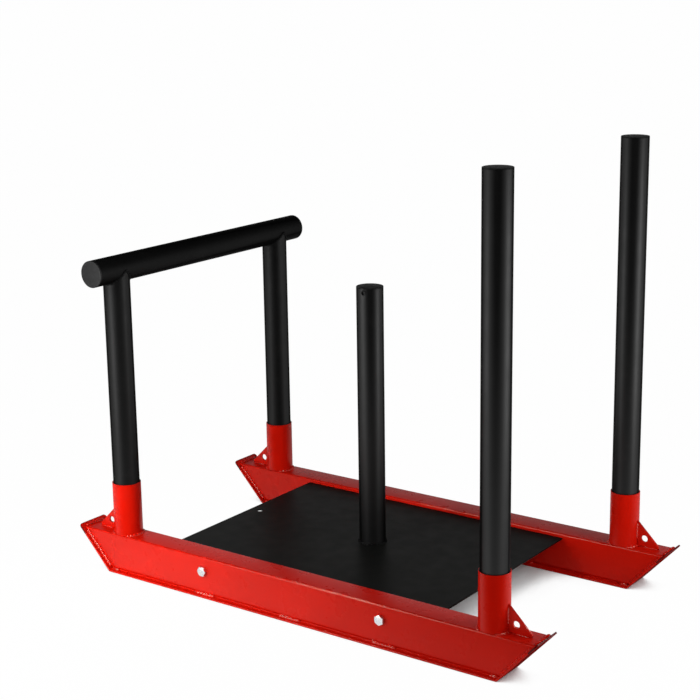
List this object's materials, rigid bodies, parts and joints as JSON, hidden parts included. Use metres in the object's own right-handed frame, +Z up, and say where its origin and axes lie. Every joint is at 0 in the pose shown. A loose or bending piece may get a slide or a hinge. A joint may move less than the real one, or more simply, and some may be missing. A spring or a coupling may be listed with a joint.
{
  "type": "weight sled",
  "caption": "Push and drag sled: two box-beam runners with upturned skids, a deck with a plate post, and lift-out push posts and a low push handle in sockets.",
  "frame": {"origin": "on the floor, in the middle of the sled's overall box", "axes": "+X to the front, where the tall posts stand; +Y to the left; +Z up"},
  "size_m": [0.97, 0.576, 0.7978],
  "materials": {
    "red_powder_coat": "gloss",
    "black_powder_coat": "satin",
    "black_deck_coat": "satin",
    "black_plastic": "matte",
    "zinc_plated_steel": "bright"
  },
  "bodies": {
    "sled_frame": {"skid_plate_right": "red_powder_coat", "skid_plate_left": "red_powder_coat", "runner_beam_right": "red_powder_coat", "runner_beam_left": "red_powder_coat", "socket_front_left": "red_powder_coat", "socket_front_right": "red_powder_coat", "socket_rear_left": "red_powder_coat", "socket_rear_right": "red_powder_coat", "gusset_front_left": "red_powder_coat", "gusset_front_right": "red_powder_coat", "gusset_rear_left": "red_powder_coat", "gusset_rear_right": "red_powder_coat", "deck_plate": "black_deck_coat", "crossmember_front": "black_deck_coat", "crossmember_rear": "black_deck_coat", "end_plate_front_left": "black_deck_coat", "end_plate_front_right": "black_deck_coat", "end_plate_rear_left": "black_deck_coat", "end_plate_rear_right": "black_deck_coat", "middle_post": "black_powder_coat", "middle_post_plug": "black_plastic", "bolt_front_left": "zinc_plated_steel", "bolt_front_right": "zinc_plated_steel", "bolt_rear_left": "zinc_plated_steel", "bolt_rear_right": "zinc_plated_steel", "nut_front_left": "zinc_plated_steel", "nut_front_right": "zinc_plated_steel", "nut_rear_left": "zinc_plated_steel", "nut_rear_right": "zinc_plated_steel"},
    "tall_post_right": {"tall_post_right": "black_powder_coat", "tall_post_plug_right": "black_plastic"},
    "tall_post_left": {"tall_post_left": "black_powder_coat", "tall_post_plug_left": "black_plastic"},
    "push_handle": {"handle_crossbar": "black_powder_coat", "handle_upright_right": "black_powder_coat", "handle_upright_left": "black_powder_coat", "handle_cap_right": "black_plastic", "handle_cap_left": "black_plastic"}
  },
  "joints": [
    {"name": "tall_post_right_lift", "type": "slide", "parent": "sled_frame", "child": "tall_post_right", "axis": [0, 0, 1], "range_m": [0, 0.1]},
    {"name": "tall_post_left_lift", "type": "slide", "parent": "sled_frame", "child": "tall_post_left", "axis": [0, 0, 1], "range_m": [0, 0.1]},
    {"name": "push_handle_lift", "type": "slide", "parent": "sled_frame", "child": "push_handle", "axis": [0, 0, 1], "range_m": [0, 0.1]}
  ]
}
